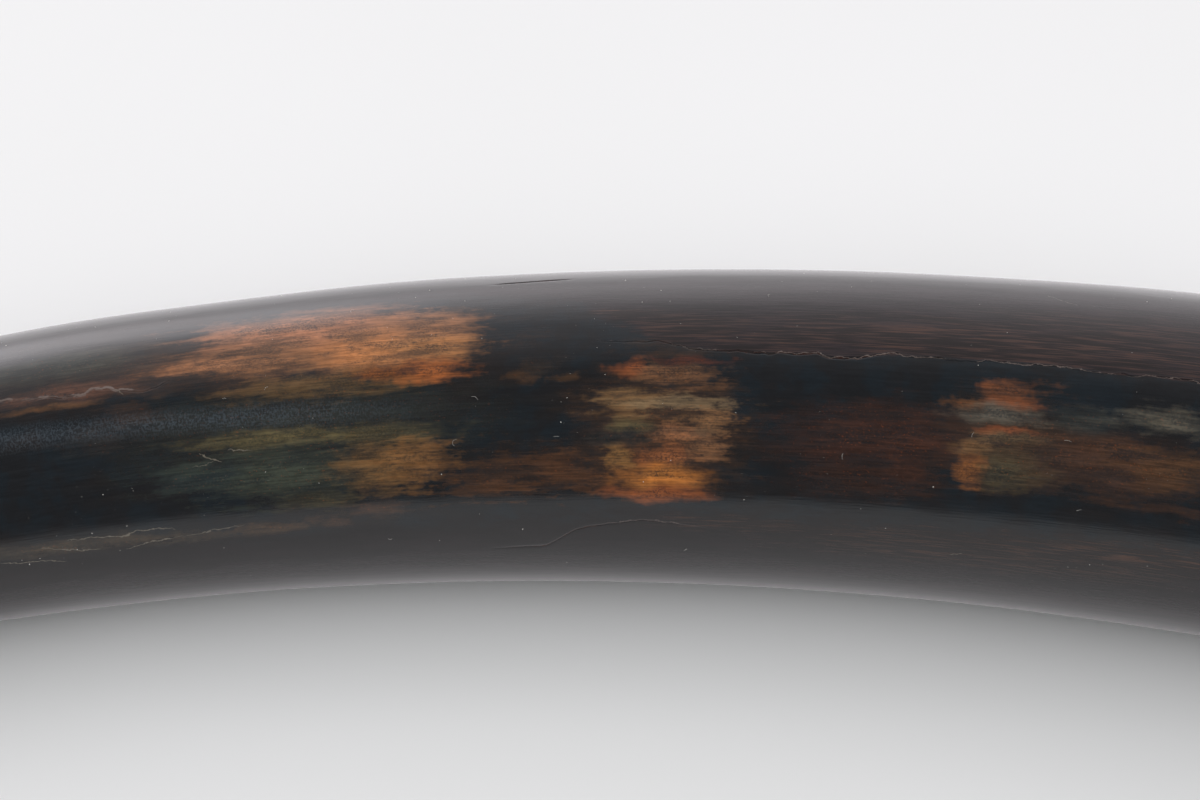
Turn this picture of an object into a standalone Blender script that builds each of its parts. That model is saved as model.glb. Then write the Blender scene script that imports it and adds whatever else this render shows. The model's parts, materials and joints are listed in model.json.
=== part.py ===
"""A mammoth tusk, lying on its side as it would on a table.

Metres, +Z up. The tusk is one solid: a tapering horn of ivory that curls ever tighter towards its
tip, sawn off flat at the butt, where the hollow of the pulp opens. The sawn face looks along +X and
the curl runs round through -X to -Y. The origin is the middle of the footprint, on the surface that
the tusk lies on.
"""

import math

import bmesh
import bpy

# Driving dimensions
LENGTH = 1.44  # along the curve, butt to tip
BUTT_RADIUS = 0.0448
TAPER_LENGTH = 1.578  # where the taper curve would reach nothing
TAPER_POWER = 2.126
BEND_AT_BUTT = 0.65  # curvature, per metre
BEND_GROWTH = 0.97  # gain in curvature, per metre and metre

# How it rests: the tip is twisted up off the surface
LIFT_START = 0.87
TIP_LIFT = 0.062
LIFT_POWER = 1.9

# The pulp hollow
CAVITY_DEPTH = 0.21
CAVITY_MOUTH_RADIUS = 0.031
CAVITY_POWER = 0.85
CAVITY_EDGE = 0.0012

# The sawn rim and the worn tip
RIM_EDGE = 0.0016
RIM_RING = 0.3  # share of the rounded edge at which it gets a ring between its ends
TIP_ROUND = 0.0115
FACET_START = 1.35
FACET_DEPTH = 0.42  # share of the radius that wear has taken at the tip
FACET_ANGLE = math.radians(318)

# Relief of the outside
OVAL = 0.012
OVAL_ANGLE = math.radians(25)
SWELLING = 0.0009
SWELLING_LENGTHS = (0.118, 0.283)
EVEN_MIDDLE = 0.62  # the stretch with hardly a swelling
EVEN_HALF_LENGTH = 0.34
FLUTES = (
    # angle round the tusk, half width, depth, where it is deepest, half length
    (math.radians(350), math.radians(30), 0.0021, 0.27, 0.40),
    (math.radians(142), math.radians(24), 0.0017, 0.12, 0.30),
    (math.radians(232), math.radians(22), 0.0014, 0.24, 0.28),
    (math.radians(304), math.radians(24), 0.0016, 0.80, 0.36),
    (math.radians(66), math.radians(26), 0.0016, 1.04, 0.28),
    (math.radians(196), math.radians(24), 0.0012, 1.10, 0.26),
)

# The long drying crack, deepest at the butt
CRACK_ANGLE = math.radians(103)
CRACK_HALF_WIDTH = 0.0011
CRACK_END = 0.64
CRACK_FADE = 0.2
CRACK_DEPTH = 0.0005
SPLIT_DEPTH = 0.0055  # how much deeper the crack opens at the sawn face
SPLIT_LENGTH = 0.11
SPLIT_POWER = 1.5

# Fineness of the faceted skin
COLUMNS = 38
FIRST_RING = 0.008
RING_STEP = 0.0165
CAVITY_RINGS = 13
TIP_RINGS = 7
PATH_STEP = 0.001
SHARP_EDGE = math.radians(40)

IVORY_COLOR = (0.022, 0.020, 0.019)
IVORY_ROUGHNESS = 0.28


def clear_scene():
    for thing in list(bpy.data.objects):
        bpy.data.objects.remove(thing, do_unlink=True)


def heading(along):
    """Direction in which the centre line runs, from the butt towards the tip."""
    return math.pi + BEND_AT_BUTT * along + 0.5 * BEND_GROWTH * along * along


def make_path():
    """Points of the centre line in plan, every PATH_STEP from the butt."""
    points = [(0.0, 0.0)]
    for index in range(int(round(LENGTH / PATH_STEP))):
        middle = (index + 0.5) * PATH_STEP
        x, y = points[-1]
        points.append((x + PATH_STEP * math.cos(heading(middle)), y + PATH_STEP * math.sin(heading(middle))))
    return points


def path_point(path, along):
    place = min(along / PATH_STEP, len(path) - 1.0)
    low = min(int(place), len(path) - 2)
    share = place - low
    x = path[low][0] + share * (path[low + 1][0] - path[low][0])
    y = path[low][1] + share * (path[low + 1][1] - path[low][1])
    return x, y


def smooth(value):
    value = min(max(value, 0.0), 1.0)
    return value * value * (3.0 - 2.0 * value)


def bump(distance, reach):
    """A smooth hump: 1 in the middle, 0 from reach outwards."""
    return smooth(1.0 - abs(distance) / reach)


def angle_between(first, second):
    return (first - second + math.pi) % (2.0 * math.pi) - math.pi


def quarter_round(share):
    """Height of a quarter circle: 0 at its start, 1 from its end on."""
    rest = 1.0 - min(max(share, 0.0), 1.0)
    return math.sqrt(max(0.0, 1.0 - rest * rest))


def taper_radius(along):
    return BUTT_RADIUS * (1.0 - (along / TAPER_LENGTH) ** TAPER_POWER)


def crack_depth(along):
    depth = CRACK_DEPTH * smooth((CRACK_END - along) / CRACK_FADE)
    return depth + SPLIT_DEPTH * max(0.0, 1.0 - along / SPLIT_LENGTH) ** SPLIT_POWER


def skin_radius(along, angle):
    """Distance of the outside from the centre line. Angle 0 is the outer side of the bend, 90 is up."""
    base = taper_radius(along)
    slimness = base / BUTT_RADIUS
    radius = base * (1.0 + OVAL * math.cos(2.0 * (angle - OVAL_ANGLE)))
    swelling = SWELLING * (1.0 - bump(along - EVEN_MIDDLE, EVEN_HALF_LENGTH))
    short, long = (2.0 * math.pi * along / length for length in SWELLING_LENGTHS)
    radius += slimness * swelling * math.sin(short) * math.cos(long)
    for flute_angle, half_width, depth, middle, half_length in FLUTES:
        across = bump(angle_between(angle, flute_angle), half_width)
        radius -= slimness * depth * across * bump(along - middle, half_length)
    worn = smooth((along - FACET_START) / (LENGTH - FACET_START))
    if worn > 0.0:
        facing = math.cos(angle_between(angle, FACET_ANGLE))
        limit = base * (1.0 - FACET_DEPTH * worn)
        if facing > 0.0 and radius * facing > limit:
            radius = limit / facing
    return radius


def column_angles(along):
    """Angles of the ring's vertices: the crack's two lips and its bottom, then an even spread."""
    lip = CRACK_HALF_WIDTH / taper_radius(along)
    angles = [CRACK_ANGLE - lip, CRACK_ANGLE, CRACK_ANGLE + lip]
    spread = 2.0 * math.pi - 2.0 * lip
    others = COLUMNS - 3
    for index in range(others):
        angles.append(CRACK_ANGLE + lip + spread * (index + 1) / (others + 1))
    return angles


def lift(along):
    if along <= LIFT_START:
        return 0.0
    return TIP_LIFT * ((along - LIFT_START) / (LENGTH - LIFT_START)) ** LIFT_POWER


def centre_height(along):
    """Height at which the underside of the tusk just reaches the lift."""
    return lift(along) - min(skin_radius(along, angle) * math.sin(angle) for angle in column_angles(along))


def ring_points(along, angles, radii, path):
    """Points round the centre line in an upright plane across it."""
    x, y = path_point(path, along)
    z = centre_height(along)
    out_x = math.sin(heading(along))
    out_y = -math.cos(heading(along))
    points = []
    for angle, radius in zip(angles, radii):
        side = radius * math.cos(angle)
        points.append((x + side * out_x, y + side * out_y, z + radius * math.sin(angle)))
    return points


def skin_ring(along, path):
    """A ring of the outside, rounded over at the sawn rim and at the tip."""
    angles = column_angles(along)
    rim_cut = RIM_EDGE * (1.0 - quarter_round(along / RIM_EDGE))
    tip_share = quarter_round((LENGTH - along) / TIP_ROUND)
    radii = [(skin_radius(along, angle) - rim_cut) * tip_share for angle in angles]
    radii[1] -= crack_depth(along)
    return ring_points(along, angles, radii, path)


def cavity_ring(along, path):
    """A ring of the hollow's wall, its vertices evenly spread so that the cone is smooth."""
    radius = CAVITY_MOUTH_RADIUS * max(0.0, 1.0 - along / CAVITY_DEPTH) ** CAVITY_POWER
    if along < CAVITY_EDGE:
        radius += CAVITY_EDGE * (1.0 - along / CAVITY_EDGE)
    angles = [CRACK_ANGLE + 2.0 * math.pi * (index - 1) / COLUMNS for index in range(COLUMNS)]
    return ring_points(along, angles, [radius] * COLUMNS, path)


def skin_stations():
    """Distances from the butt at which the outside gets a ring."""
    stations = [0.0, RIM_RING * RIM_EDGE, RIM_EDGE, FIRST_RING]
    body_end = LENGTH - TIP_ROUND
    count = int(round((body_end - FIRST_RING) / RING_STEP))
    for index in range(count):
        stations.append(FIRST_RING + (body_end - FIRST_RING) * (index + 1) / count)
    for index in range(1, TIP_RINGS):
        turn = 0.5 * math.pi * index / TIP_RINGS
        stations.append(body_end + TIP_ROUND * math.sin(turn))
    return stations


def cavity_stations():
    stations = [0.0, CAVITY_EDGE]
    for index in range(1, CAVITY_RINGS):
        share = index / CAVITY_RINGS
        stations.append(CAVITY_EDGE + (CAVITY_DEPTH - CAVITY_EDGE) * share)
    return stations


def bridge(mesh, first, second):
    count = len(first)
    for index in range(count):
        after = (index + 1) % count
        mesh.faces.new((first[index], first[after], second[after], second[index]))


def close_with_point(mesh, ring, point):
    apex = mesh.verts.new(point)
    for index in range(len(ring)):
        mesh.faces.new((ring[index], ring[(index + 1) % len(ring)], apex))


def build_tusk():
    path = make_path()
    mesh = bmesh.new()
    skin = [[mesh.verts.new(point) for point in skin_ring(along, path)] for along in skin_stations()]
    for first, second in zip(skin, skin[1:]):
        bridge(mesh, first, second)
    close_with_point(mesh, skin[-1], (*path_point(path, LENGTH), centre_height(LENGTH)))

    hollow = [[mesh.verts.new(point) for point in cavity_ring(along, path)] for along in cavity_stations()]
    bridge(mesh, hollow[0], skin[0])
    for first, second in zip(hollow, hollow[1:]):
        bridge(mesh, second, first)
    close_with_point(mesh, hollow[-1], (*path_point(path, CAVITY_DEPTH), centre_height(CAVITY_DEPTH)))

    bmesh.ops.recalc_face_normals(mesh, faces=mesh.faces)
    bmesh.ops.triangulate(mesh, faces=mesh.faces)
    set_origin(mesh)
    return finish_object("tusk", mesh)


def set_origin(mesh):
    """Move the mesh so that the middle of its footprint, on the surface below it, is the origin."""
    xs = [vertex.co.x for vertex in mesh.verts]
    ys = [vertex.co.y for vertex in mesh.verts]
    lowest = min(vertex.co.z for vertex in mesh.verts)
    middle_x = 0.5 * (min(xs) + max(xs))
    middle_y = 0.5 * (min(ys) + max(ys))
    bmesh.ops.translate(mesh, verts=mesh.verts, vec=(-middle_x, -middle_y, -lowest))


def ivory_material():
    material = bpy.data.materials.new("stained_ivory")
    material.use_nodes = True
    shader = material.node_tree.nodes["Principled BSDF"]
    shader.inputs["Base Color"].default_value = (*IVORY_COLOR, 1.0)
    shader.inputs["Roughness"].default_value = IVORY_ROUGHNESS
    shader.inputs["Metallic"].default_value = 0.0
    return material


def finish_object(name, mesh):
    data = bpy.data.meshes.new(name)
    mesh.to_mesh(data)
    mesh.free()
    data.shade_smooth()
    data.set_sharp_from_angle(angle=SHARP_EDGE)
    data.materials.append(ivory_material())
    thing = bpy.data.objects.new(name, data)
    bpy.context.scene.collection.objects.link(thing)
    return thing


clear_scene()
build_tusk()
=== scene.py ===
"""A dark, polished mammoth tusk of stained ivory, lying on a pale floor in soft light.

Metres, +Z up. Places on the tusk are given by the distance along it from the butt and by the angle
round it: 0 on the outer side of the bend, 90 on top, 180 on the inner side.
"""

import json
import math
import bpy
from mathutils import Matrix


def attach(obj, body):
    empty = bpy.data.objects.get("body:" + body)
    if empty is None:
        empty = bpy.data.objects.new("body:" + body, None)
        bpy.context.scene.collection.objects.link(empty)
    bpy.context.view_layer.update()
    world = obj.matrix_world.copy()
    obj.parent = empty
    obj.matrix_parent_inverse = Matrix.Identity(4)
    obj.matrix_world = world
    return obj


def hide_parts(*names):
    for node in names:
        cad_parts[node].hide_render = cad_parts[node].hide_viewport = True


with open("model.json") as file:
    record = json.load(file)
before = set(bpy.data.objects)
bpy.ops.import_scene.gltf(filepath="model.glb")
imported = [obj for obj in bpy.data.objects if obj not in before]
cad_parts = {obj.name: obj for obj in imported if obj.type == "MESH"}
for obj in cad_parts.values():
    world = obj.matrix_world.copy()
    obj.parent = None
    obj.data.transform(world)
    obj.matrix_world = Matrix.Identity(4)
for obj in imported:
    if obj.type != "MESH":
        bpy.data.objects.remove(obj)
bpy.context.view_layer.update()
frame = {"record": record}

from types import SimpleNamespace

import bmesh
import bpy
import numpy as np
from mathutils import Euler, Vector

bl_info = {
    "name": "Mammoth Tusk",
    "version": (1, 0, 0),
    "blender": (4, 5, 0),
    "location": "3D View > Sidebar > Tusk",
    "description": (
        "Builds a stained and polished mammoth tusk with its dust, and a soft light studio round it"),
    "category": "Add Mesh",
}

BUTT_FACE = Vector(frame["record"]["mounts"][0]["pos_m"])
AIM = Vector((-0.16043503, 0.24477113, 0.03836055))  # what the camera looks at
CAMERA_PLACE = Vector((0.10772928, -0.12432112, 0.58206825))

# The tusk's shape, the same rule as its solid
LENGTH = 1.44
BUTT_RADIUS = 0.0448
TAPER_LENGTH = 1.578
TAPER_POWER = 2.126
BEND_AT_BUTT = 0.65
BEND_GROWTH = 0.97
PATH_STEP = 0.001
LIFT_START = 0.87
TIP_LIFT = 0.062
LIFT_POWER = 1.9
OVAL = 0.012
OVAL_ANGLE = math.radians(25)
SWELLING = 0.0009
SWELLING_LENGTHS = (0.118, 0.283)
EVEN_MIDDLE = 0.62
EVEN_HALF_LENGTH = 0.34
FLUTES = (
    # angle round the tusk in degrees, half width in degrees, depth, where it is deepest, half length
    (350, 30, 0.0021, 0.27, 0.40),
    (142, 24, 0.0017, 0.12, 0.30),
    (232, 22, 0.0014, 0.24, 0.28),
    (304, 24, 0.0016, 0.80, 0.36),
    (66, 26, 0.0016, 1.04, 0.28),
    (196, 24, 0.0012, 1.10, 0.26),
)
FACET_START = 1.35
FACET_DEPTH = 0.42
FACET_ANGLE = math.radians(318)
TIP_ROUND = 0.0115
RIM_EDGE = 0.0016
CAVITY_DEPTH = 0.21
CAVITY_MOUTH_RADIUS = 0.031
CAVITY_POWER = 0.85
CAVITY_EDGE = 0.0012
BARK_STEP = 0.00009  # how far the bark stands proud along the main crack
SPLIT_GAIN = 7.0  # how much deeper the main crack gets at the sawn face
SPLIT_LENGTH = 0.11
SPLIT_POWER = 1.5
LEAST_RADIUS = 0.02  # below it a crack's width in angle no longer grows
SHARP_EDGE = math.radians(50.0)

# Places on the skin are laid out flat as distance along and distance round at this radius
ARC_RADIUS = 0.039
SEAM_ANGLE = 110.0  # the middle of the unrolled skin, so that its seam is underneath
STAIN_SWAY = (0.018, 0.0048, 0.0)  # how far a noise shifts the stains, along and round
STAIN_EDGE = 0.88  # a stain's given size in the measure of its mask
STAIN_END = 1.15  # where the mask reaches nothing, in the same measure
STAIN_TEARING = 0.55
STAIN_SOFTNESS = 1.08

# Skin, sawn face and dust
HAZE_SPREAD = 0.4
LATTICE_TURNS = 46.0
LATTICE_SWIRL = 1500.0
SPECK_SHAPE = (1.25, 0.9, 0.55)  # a speck's length, width and height as shares of its radius

# Stage: the panels' places are right, away and up from what the camera looks at
PANEL_SIZE = (3.8, 1.8)
PANELS = (("left_panel", (-2.5, -0.8, 1.9)), ("right_panel", (2.5, -0.8, 1.9)))
FLOOR_OTHER_TONE = (0.82, 0.83, 0.835, 1.0)
SENSOR_WIDTH = 36.0

# Lines along the tusk that cracks follow: distance along, angle in degrees
MAIN_CRACK = (
    (0.0, 103.0), (0.06, 103.6), (0.13, 102.4), (0.20, 103.5), (0.27, 102.2), (0.34, 103.2),
    (0.41, 101.8), (0.46, 102.6), (0.503, 102.2), (0.525, 102.5), (0.538, 101.4), (0.5515, 101.6),
    (0.577, 101.4), (0.585, 103.3), (0.591, 103.3), (0.594, 101.9), (0.597, 102.6), (0.6015, 102.0),
    (0.6075, 102.2), (0.6137, 101.8), (0.621, 101.5), (0.627, 100.2), (0.631, 98.0), (0.650, 97.0),
    (0.70, 98.0), (0.734, 99.0), (0.750, 100.0), (0.754, 103.0), (0.761, 102.0), (0.767, 100.0),
    (0.769, 102.0), (0.775, 102.0), (0.777, 100.0), (0.782, 100.0), (0.789, 98.0), (0.84, 99.0),
    (1.0, 100.0), (1.2, 101.0), (1.44, 101.0),
)
TOP_SLIT = ((0.0, 57.0), (0.655, 59.0), (0.663, 60.2), (0.670, 61.0), (1.44, 60.0))
LOWER_CRACK = (
    (0.0, 171.0), (0.40, 170.0), (0.605, 168.0), (0.620, 168.0), (0.628, 166.0), (0.635, 165.0),
    (0.643, 167.0), (0.648, 168.0), (0.652, 170.0), (0.657, 176.0), (0.659, 178.0), (0.671, 179.0),
    (0.72, 180.0), (1.44, 180.0),
)
# Half of the gap and how pale the lips are: distance along, half gap in mm, paleness
MAIN_OPENING = (
    (0.0, 1.05, 0.75), (0.03, 0.62, 0.7), (0.09, 0.25, 0.7), (0.20, 0.12, 0.6), (0.40, 0.07, 0.7),
    (0.500, 0.03, 0.8), (0.572, 0.03, 0.9), (0.579, 0.05, 0.9), (0.584, 0.12, 0.9), (0.596, 0.13, 0.9),
    (0.602, 0.08, 0.8), (0.6045, 0.06, 0.7), (0.608, 0.13, 0.6), (0.6115, 0.08, 0.5), (0.618, 0.05, 0.5),
    (0.630, 0.04, 0.4), (0.640, 0.03, 0.25), (0.648, 0.0, 0.0), (0.747, 0.0, 0.0), (0.751, 0.02, 0.5),
    (0.762, 0.04, 0.9), (0.770, 0.02, 0.7), (0.776, 0.04, 0.9), (0.784, 0.02, 0.7), (0.792, 0.02, 0.5),
    (0.86, 0.05, 0.3), (0.90, 0.0, 0.0), (1.44, 0.0, 0.0),
)
SLIT_OPENING = (
    (0.0, 0.0, 0.0), (0.652, 0.0, 0.0), (0.655, 0.16, 0.0), (0.659, 0.22, 0.0), (0.6605, 0.02, 0.0),
    (0.662, 0.20, 0.0), (0.667, 0.18, 0.0), (0.672, 0.0, 0.0), (1.44, 0.0, 0.0),
)
LOWER_OPENING = (
    (0.0, 0.10, 0.3), (0.05, 0.05, 0.2), (0.25, 0.0, 0.0), (0.618, 0.0, 0.0), (0.626, 0.05, 0.6),
    (0.640, 0.06, 0.55), (0.650, 0.09, 0.2), (0.664, 0.11, 0.1), (0.674, 0.0, 0.0), (1.44, 0.0, 0.0),
)
# Where the dark bark ends and the polished band begins: distance along, angle above, angle below
BARK_EDGES = (
    (0.0, 103.0, 163.0), (0.30, 103.0, 158.0), (0.46, 102.6, 161.0), (0.503, 102.2, 161.0),
    (0.525, 102.5, 161.5), (0.538, 101.4, 162.0), (0.577, 101.4, 162.5), (0.588, 103.3, 161.5),
    (0.596, 102.2, 161.0), (0.617, 101.6, 160.0), (0.631, 98.0, 160.0), (0.642, 89.0, 161.0),
    (0.650, 79.0, 163.0), (0.670, 70.0, 165.0), (0.72, 67.0, 166.0), (0.80, 66.0, 166.0),
    (0.95, 74.0, 160.0), (1.10, 62.0, 172.0), (1.25, 82.0, 156.0), (1.44, 50.0, 178.0),
)


def srgb(red, green, blue, gain=1.0):
    """Screen values from 0 to 255 as a linear colour."""
    made = []
    for value in (red, green, blue):
        value /= 255.0
        linear = value / 12.92 if value <= 0.04045 else ((value + 0.055) / 1.055) ** 2.4
        made.append(min(linear * gain, 1.0))
    return (*made, 1.0)


# Stains: distance along, angle, half length, half width, screen colour, strength, tearing of the edge
STAINS = (
    (0.718, 125.8, 0.048, 0.0162, (50, 53, 46), 0.55, 0.6),
    (0.725, 93.0, 0.054, 0.0101, (92, 66, 50), 0.65, 0.7),
    (0.660, 145.2, 0.033, 0.0069, (66, 46, 32), 0.6, 0.8),
    (0.630, 131.0, 0.020, 0.0195, (92, 66, 46), 0.6, 0.8),
    (0.578, 132.0, 0.028, 0.0088, (48, 32, 28), 0.6, 0.7),
    (0.547, 129.4, 0.019, 0.0119, (80, 60, 44), 0.65, 0.8),
    (0.518, 134.1, 0.024, 0.0090, (60, 43, 34), 0.6, 0.8),
    (0.712, 91.8, 0.032, 0.0092, (150, 104, 70), 0.85, 0.8),
    (0.716, 81.4, 0.027, 0.0071, (180, 122, 88), 1.0, 0.9),
    (0.701, 96.1, 0.013, 0.0069, (196, 130, 80), 1.0, 0.8),
    (0.737, 95.8, 0.015, 0.0025, (186, 126, 84), 0.9, 1.0),
    (0.699, 107.0, 0.008, 0.0022, (168, 96, 42), 0.9, 1.2),
    (0.713, 109.0, 0.022, 0.0041, (112, 88, 58), 0.65, 1.4),
    (0.773, 99.2, 0.020, 0.0031, (92, 64, 52), 0.95, 0.7),
    (0.778, 104.4, 0.015, 0.0012, (116, 82, 54), 0.6, 0.9),
    (0.774, 85.3, 0.022, 0.0058, (62, 68, 62), 0.7, 0.9),
    (0.761, 112.5, 0.008, 0.0038, (70, 54, 46), 0.45, 1.3),
    (0.767, 120.2, 0.009, 0.0042, (54, 50, 48), 0.4, 1.2),
    (0.722, 127.6, 0.024, 0.0025, (122, 110, 74), 0.75, 0.8),
    (0.700, 129.1, 0.011, 0.0035, (100, 88, 58), 0.65, 0.9),
    (0.743, 140.6, 0.016, 0.0042, (56, 70, 68), 0.65, 0.9),
    (0.722, 142.7, 0.025, 0.0084, (68, 76, 66), 0.75, 1.1),
    (0.700, 142.5, 0.012, 0.0078, (132, 98, 60), 0.75, 1.1),
    (0.715, 152.6, 0.013, 0.0033, (74, 68, 48), 0.7, 1.1),
    (0.701, 158.0, 0.008, 0.0032, (84, 60, 44), 0.6, 1.2),
    (0.781, 161.8, 0.022, 0.0025, (78, 68, 54), 0.8, 0.7),
    (0.754, 164.4, 0.019, 0.0023, (82, 70, 54), 0.75, 0.8),
    (0.727, 163.5, 0.016, 0.0019, (100, 76, 52), 0.7, 1.0),
    (0.712, 162.9, 0.006, 0.0022, (96, 68, 50), 0.5, 1.0),
    (0.686, 87.2, 0.013, 0.0064, (156, 108, 74), 0.9, 1.0),
    (0.687, 97.0, 0.014, 0.0042, (180, 124, 76), 1.0, 0.9),
    (0.686, 106.4, 0.010, 0.0033, (172, 100, 52), 0.95, 0.9),
    (0.664, 110.8, 0.005, 0.0016, (96, 68, 44), 0.5, 1.0),
    (0.654, 111.3, 0.004, 0.0013, (98, 70, 44), 0.5, 1.0),
    (0.660, 106.3, 0.005, 0.0024, (68, 54, 42), 0.5, 1.0),
    (0.691, 128.9, 0.012, 0.0022, (84, 80, 60), 0.6, 1.0),
    (0.691, 140.6, 0.011, 0.0066, (144, 102, 60), 0.75, 1.2),
    (0.674, 146.2, 0.016, 0.0062, (92, 62, 40), 0.5, 2.2),
    (0.654, 147.6, 0.014, 0.0049, (100, 66, 42), 0.52, 2.2),
    (0.641, 140.3, 0.004, 0.0034, (156, 114, 66), 0.8, 1.6),
    (0.638, 108.3, 0.006, 0.0023, (146, 82, 46), 0.95, 0.8),
    (0.627, 111.0, 0.011, 0.0030, (124, 88, 62), 0.85, 1.5),
    (0.638, 120.4, 0.008, 0.0037, (138, 106, 70), 0.75, 1.4),
    (0.626, 121.1, 0.013, 0.0019, (140, 120, 92), 0.72, 1.8),
    (0.638, 129.3, 0.006, 0.0019, (100, 90, 62), 0.75, 1.2),
    (0.621, 128.4, 0.008, 0.0033, (150, 110, 74), 0.8, 1.8),
    (0.628, 131.7, 0.005, 0.0026, (182, 120, 78), 1.0, 0.9),
    (0.629, 140.2, 0.008, 0.0034, (174, 106, 62), 0.95, 1.0),
    (0.630, 147.9, 0.011, 0.0036, (198, 126, 60), 1.0, 0.5),
    (0.631, 154.7, 0.013, 0.0024, (170, 96, 50), 1.0, 0.5),
    (0.620, 136.8, 0.007, 0.0036, (146, 104, 72), 0.8, 1.6),
    (0.623, 105.3, 0.009, 0.0013, (92, 50, 38), 0.8, 0.9),
    (0.641, 133.5, 0.010, 0.0022, (34, 42, 44), 0.8, 1.6),
    (0.627, 131.0, 0.009, 0.0017, (60, 62, 56), 0.6, 2.0),
    (0.669, 144.9, 0.010, 0.0018, (34, 36, 38), 0.55, 2.2),
    (0.578, 130.7, 0.023, 0.0088, (58, 38, 32), 0.9, 0.8),
    (0.577, 129.2, 0.014, 0.0055, (70, 45, 36), 0.6, 1.2),
    (0.571, 141.6, 0.007, 0.0062, (78, 46, 30), 0.6, 1.3),
    (0.581, 146.1, 0.020, 0.0054, (54, 36, 29), 0.8, 0.8),
    (0.551, 109.8, 0.004, 0.0012, (140, 84, 52), 0.65, 0.8),
    (0.546, 111.7, 0.007, 0.0029, (118, 74, 48), 0.75, 1.0),
    (0.559, 117.2, 0.005, 0.0014, (112, 76, 50), 0.7, 1.2),
    (0.545, 116.5, 0.008, 0.0014, (136, 80, 50), 0.65, 1.0),
    (0.549, 120.6, 0.011, 0.0023, (106, 102, 92), 0.78, 1.1),
    (0.548, 126.0, 0.007, 0.0011, (164, 92, 56), 0.7, 0.8),
    (0.547, 128.1, 0.010, 0.0016, (120, 100, 74), 0.6, 1.0),
    (0.555, 131.7, 0.005, 0.0023, (116, 88, 60), 0.85, 1.2),
    (0.555, 140.6, 0.004, 0.0037, (156, 98, 52), 0.9, 1.0),
    (0.545, 138.3, 0.009, 0.0050, (82, 76, 56), 0.85, 1.1),
    (0.523, 133.5, 0.023, 0.0076, (76, 54, 42), 0.85, 0.9),
    (0.508, 132.9, 0.013, 0.0053, (90, 64, 42), 0.7, 1.1),
    (0.510, 117.9, 0.013, 0.0036, (106, 102, 90), 0.75, 1.0),
    (0.528, 119.7, 0.012, 0.0032, (60, 66, 64), 0.6, 0.9),
    (0.508, 146.9, 0.011, 0.0014, (86, 56, 36), 0.4, 1.1),
    (0.524, 126.2, 0.015, 0.0016, (84, 58, 42), 0.5, 1.0),
)
# Rusty grain in the bark: distance along, angle, half length, half width, strength
RUSTY_GRAIN = (
    (0.555, 94.0, 0.090, 0.0085, 0.62),
    (0.520, 84.0, 0.050, 0.0070, 0.40),
    (0.622, 92.0, 0.026, 0.0060, 0.55),
    (0.640, 84.0, 0.010, 0.0016, 0.95),
    (0.545, 170.0, 0.070, 0.0070, 0.50),
    (0.512, 164.0, 0.030, 0.0040, 0.75),
    (0.612, 166.0, 0.030, 0.0030, 0.45),
)
FILLED_LIP = 0.0006  # width of the main crack's pale filling, towards the tip
# Each crack's pale lip: the crack, width of the lip in metres
CRACK_LIPS = (("slit", 0.0002), ("crack", 0.00016), ("lower", 0.00015))
# Hairlines: start along, start angle, end along, end angle, width in mm, pale
HAIRLINES = (
    (0.778, 159.0, 0.751, 159.2, 0.28, 1.0),
    (0.795, 165.0, 0.779, 168.0, 0.26, 0.9),
    (0.785, 161.0, 0.770, 165.0, 0.24, 0.9),
    (0.764, 166.0, 0.750, 163.0, 0.24, 0.9),
    (0.750, 163.0, 0.734, 161.0, 0.22, 0.8),
    (0.7432, 130.4, 0.7378, 134.6, 0.24, 1.0),
    (0.7452, 135.4, 0.7392, 133.2, 0.16, 0.6),
    (0.7362, 131.2, 0.7302, 131.0, 0.20, 0.9),
    (0.7620, 101.0, 0.7600, 104.0, 0.20, 0.7),
    (0.5400, 66.0, 0.5330, 71.0, 0.20, 0.5),
    (0.5580, 173.5, 0.5550, 172.0, 0.20, 0.7),
)
# Lint: distance along, angle, length in mm, turn on the surface in degrees, bend
LINT = (
    (0.6815, 133.2, 2.6, 60.0, 3.0), (0.6760, 119.0, 2.0, -30.0, 1.5), (0.6240, 178.6, 1.6, 40.0, 2.6),
    (0.6560, 133.0, 1.5, 0.0, 0.3), (0.6980, 172.0, 1.2, 0.0, 0.3), (0.6060, 74.0, 1.4, 80.0, 2.4),
    (0.5870, 137.0, 1.6, 85.0, 1.0), (0.5560, 127.0, 1.4, 70.0, 1.2), (0.5330, 127.5, 1.8, -8.0, 0.6),
    (0.5285, 150.0, 1.4, 20.0, 1.6), (0.7260, 107.5, 1.2, 40.0, 0.8), (0.7360, 110.5, 1.0, 0.0, 0.4),
    (0.7050, 74.0, 1.6, 50.0, 2.0), (0.2400, 96.0, 3.2, 15.0, 1.5), (0.9600, 130.0, 2.8, -50.0, 1.8),
)


# Shape of the tusk
def heading(along):
    return math.pi + BEND_AT_BUTT * along + 0.5 * BEND_GROWTH * along * along


def smooth(value):
    value = np.clip(value, 0.0, 1.0)
    return value * value * (3.0 - 2.0 * value)


def bump(distance, reach):
    return smooth(1.0 - np.abs(distance) / reach)


def angle_between(first, second):
    return (first - second + math.pi) % (2.0 * math.pi) - math.pi


def quarter_round(share):
    rest = 1.0 - np.clip(share, 0.0, 1.0)
    return np.sqrt(np.maximum(0.0, 1.0 - rest * rest))


def taper_radius(along):
    return BUTT_RADIUS * (1.0 - (along / TAPER_LENGTH) ** TAPER_POWER)


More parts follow.
